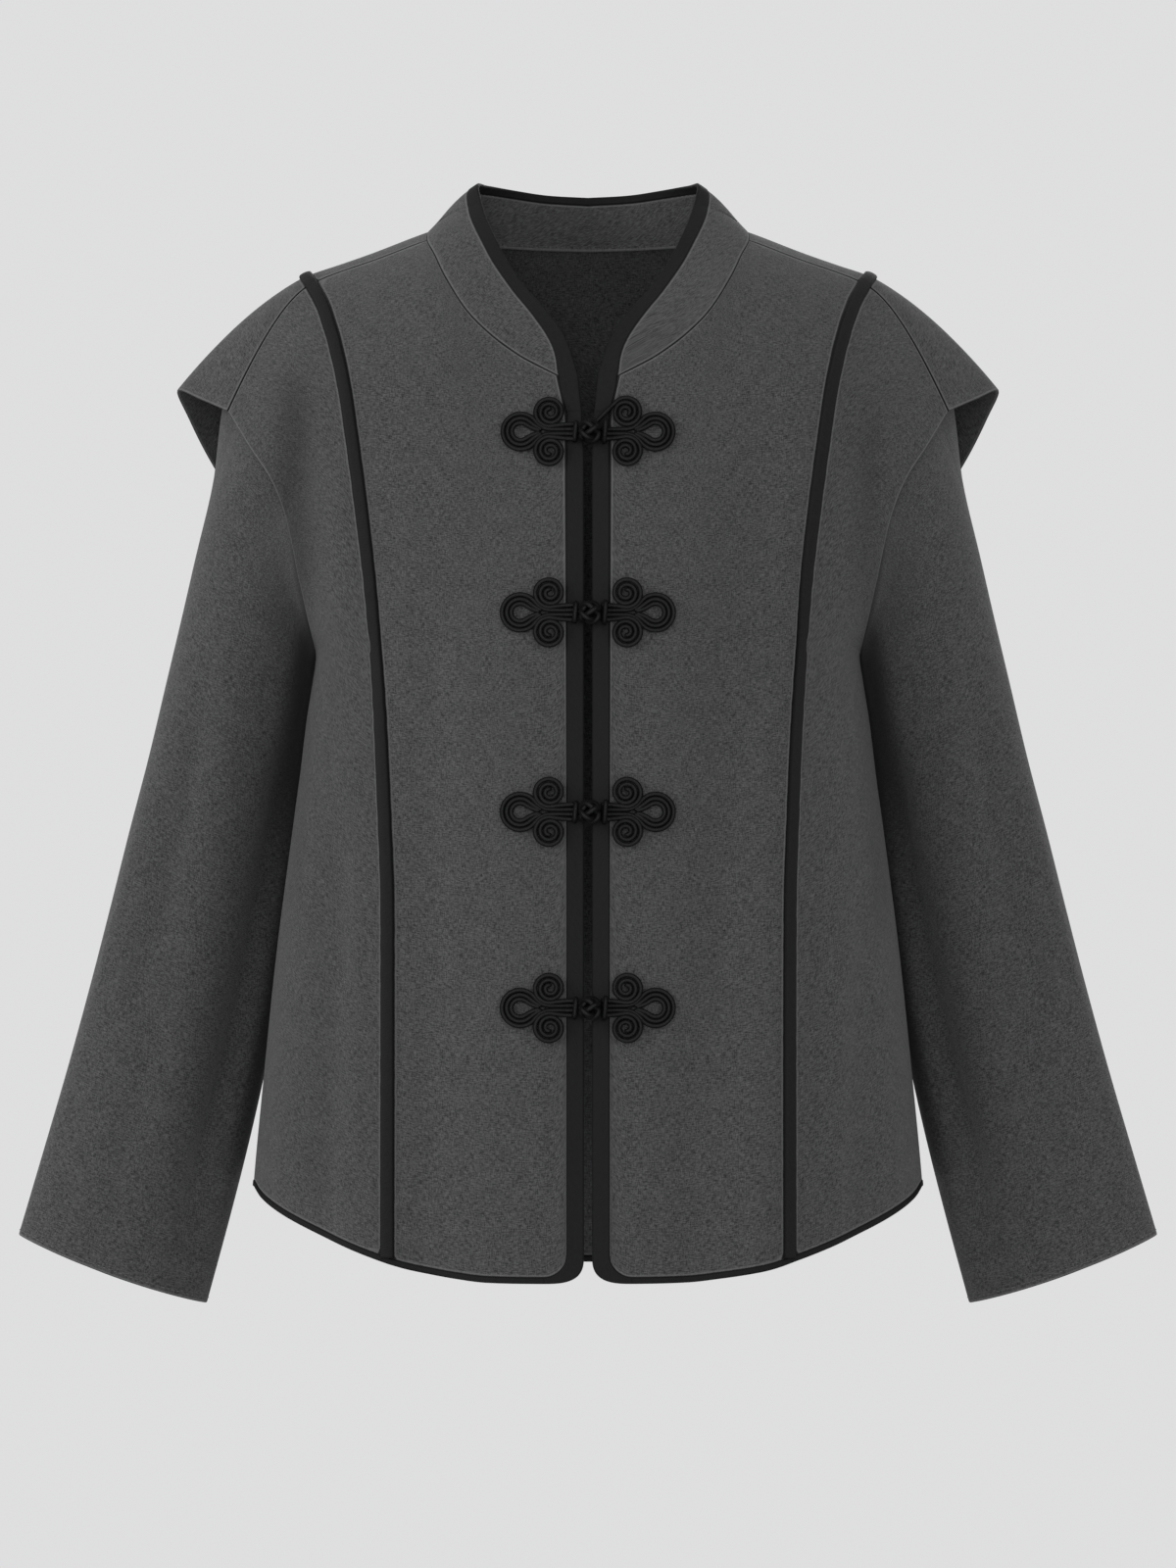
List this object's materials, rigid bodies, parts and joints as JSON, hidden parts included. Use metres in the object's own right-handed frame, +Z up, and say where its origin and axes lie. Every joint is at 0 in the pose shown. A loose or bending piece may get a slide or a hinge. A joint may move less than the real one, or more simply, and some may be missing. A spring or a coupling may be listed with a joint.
{
  "type": "mandarin collar blouse",
  "caption": "Long-sleeved mandarin collar blouse in grey cloth with black bound edges, princess piping, shoulder caps and frog closures.",
  "frame": {"origin": "middle of the neck opening at the height of the shoulder points, where the shoulders carry the blouse", "axes": "+Z up, front of the blouse towards -Y, +X towards the viewer's right as the front is looked at"},
  "size_m": [0.6974, 0.2508, 0.687],
  "materials": {
    "cloth": "grey heathered linen-like plain weave, matt",
    "binding": "black bias-cut cotton, folded and pressed, slight sheen",
    "cord": "black round braided cord, slight sheen"
  },
  "bodies": {
    "root": {"front_center_left": "cloth", "front_center_right": "cloth", "front_side_left": "cloth", "front_side_right": "cloth", "back_center": "cloth", "back_side_left": "cloth", "back_side_right": "cloth", "sleeve_left": "cloth", "sleeve_right": "cloth", "collar": "cloth", "binding_collar": "binding", "binding_front_left": "binding", "binding_front_right": "binding", "binding_hem": "binding", "piping_left": "binding", "piping_right": "binding", "frog_1_left": "cord", "frog_1_right": "cord", "frog_1_knot": "cord", "frog_2_left": "cord", "frog_2_right": "cord", "frog_2_knot": "cord", "frog_3_left": "cord", "frog_3_right": "cord", "frog_3_knot": "cord", "frog_4_left": "cord", "frog_4_right": "cord", "frog_4_knot": "cord"}
  },
  "joints": []
}
